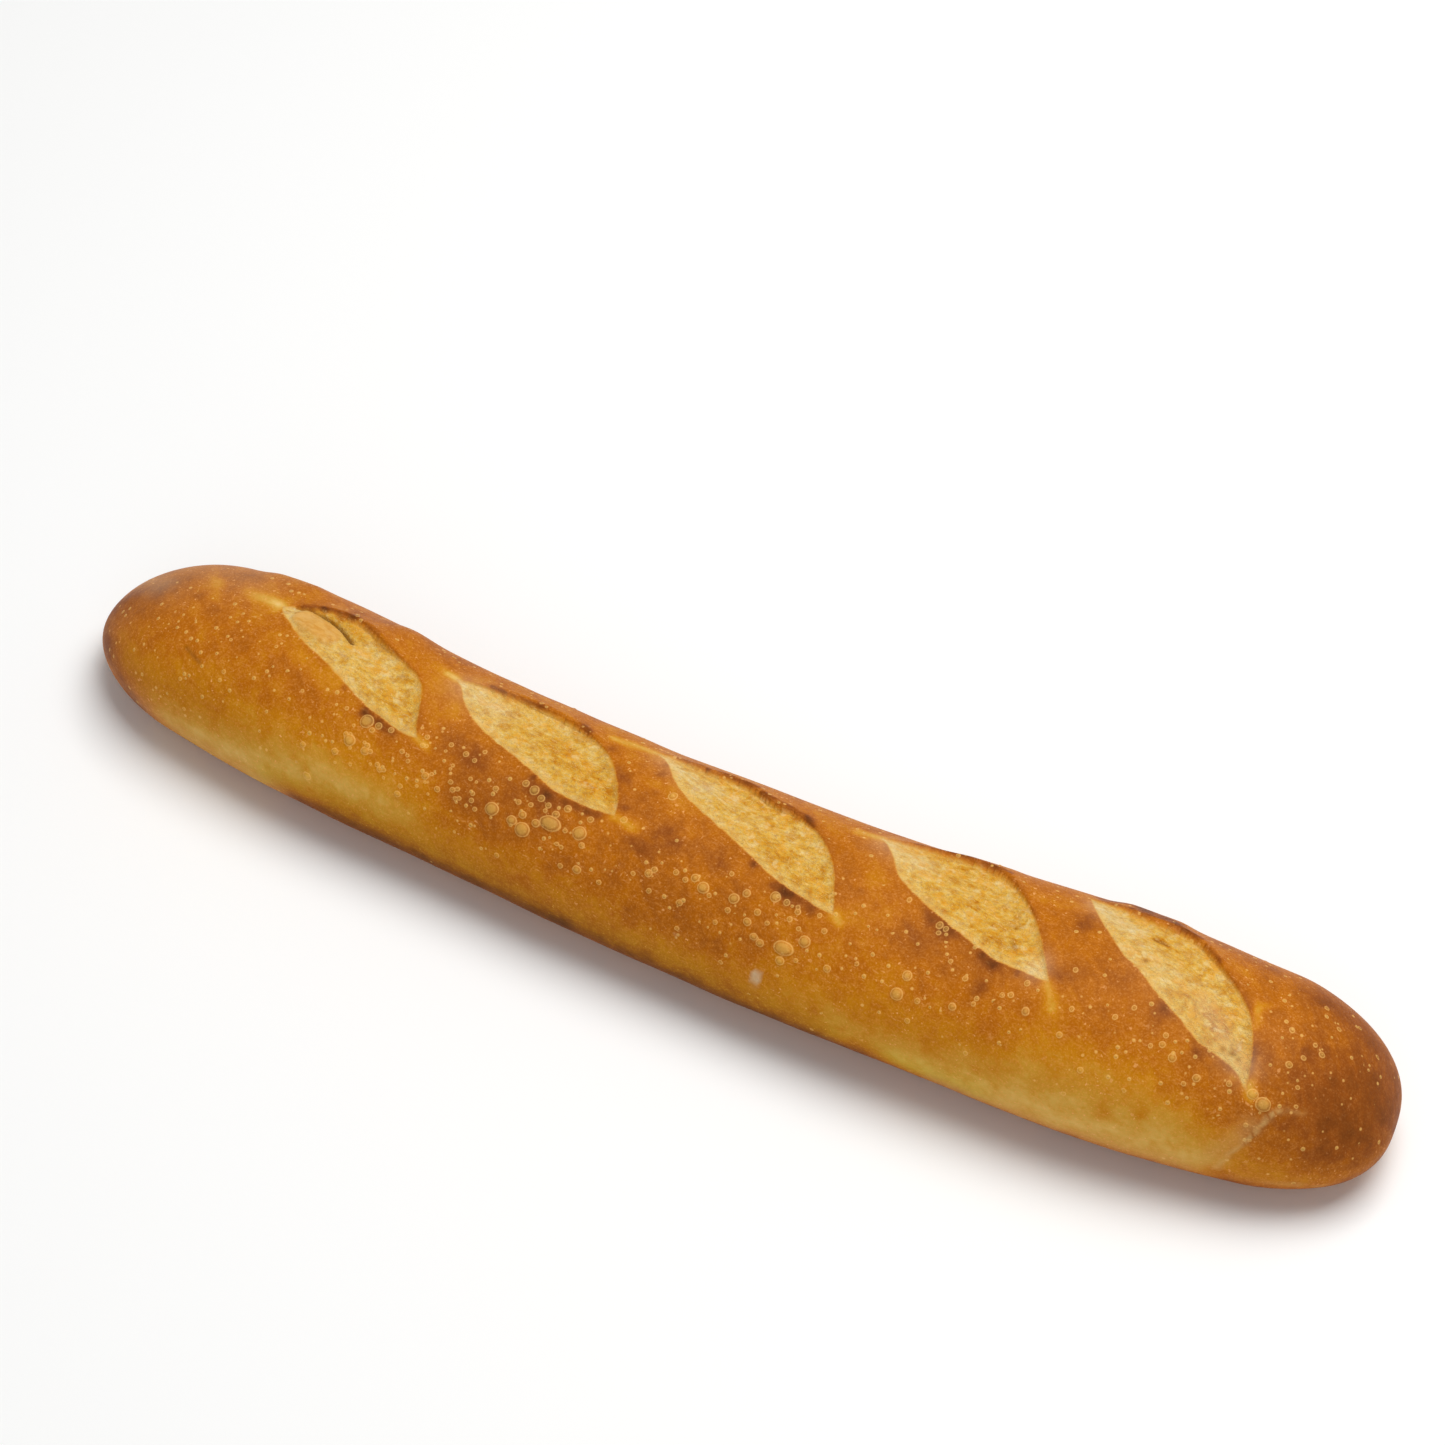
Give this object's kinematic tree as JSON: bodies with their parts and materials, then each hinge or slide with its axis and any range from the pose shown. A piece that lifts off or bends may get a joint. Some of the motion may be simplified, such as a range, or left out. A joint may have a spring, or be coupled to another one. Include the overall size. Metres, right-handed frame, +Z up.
{
  "type": "baguette",
  "caption": "Short baked baguette, slightly bowed, with round ends, a flat base and slanted open slashes along its top.",
  "frame": {"origin": "middle of the loaf's bounding box, on the surface it rests on", "axes": "+X along the loaf, -Y towards the outside of its bow, +Z up"},
  "size_m": [0.4408, 0.0766, 0.0533],
  "materials": {
    "crust": "satin golden-brown baked crust, blistered, with pale crumb in the slashes"
  },
  "bodies": {
    "root": {"loaf": "crust"}
  },
  "joints": []
}
